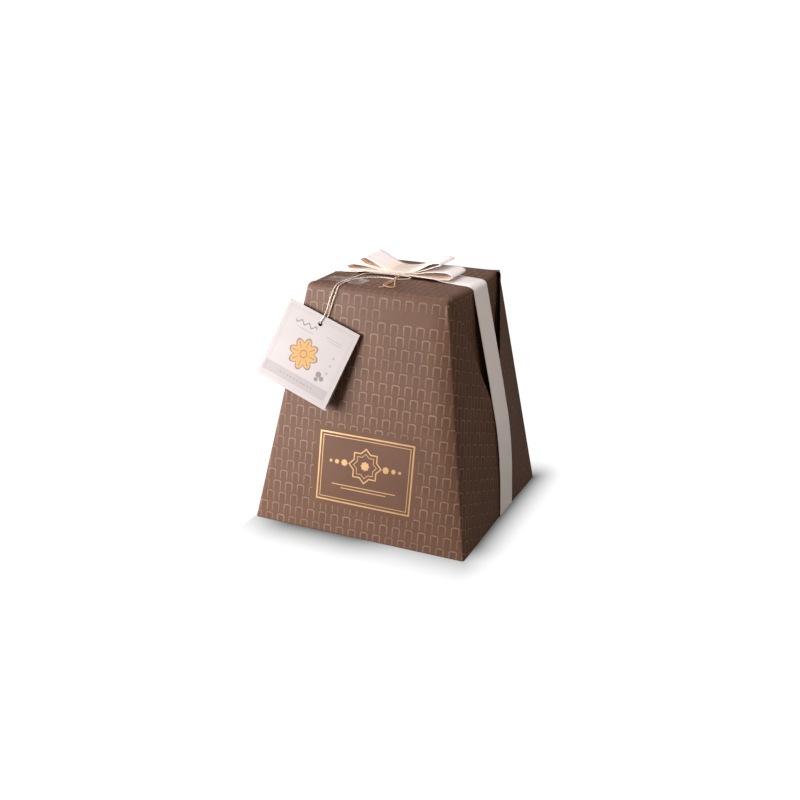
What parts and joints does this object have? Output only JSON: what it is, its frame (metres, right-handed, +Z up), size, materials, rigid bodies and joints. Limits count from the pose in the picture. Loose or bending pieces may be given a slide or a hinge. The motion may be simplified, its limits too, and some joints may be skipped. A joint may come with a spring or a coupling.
{
  "type": "gift-wrapped pandoro pack",
  "caption": "Tapered square gift box for a pandoro cake, wrapped in patterned brown paper and tied with flat ivory ribbon, with a looped bow and a card hanging on twine.",
  "frame": {"origin": "middle of the base, on the surface that the pack stands on", "axes": "+Z up, the front face with the printed panel and the card faces -Y, +X to the right as seen from the front"},
  "size_m": [0.2265, 0.2244, 0.2588],
  "materials": {
    "wrapping_paper": "satin, printed tone on tone",
    "ribbon": "ivory satin weave",
    "twine": "twisted cream and brown thread",
    "tape": "clear adhesive film",
    "card": "matt white card"
  },
  "bodies": {
    "root": {"wrapped_box": "wrapping_paper", "ribbon_band": "ribbon", "ribbon_bow": "ribbon", "twine": "twine", "tape": "tape", "tag_card": "card"}
  },
  "joints": []
}
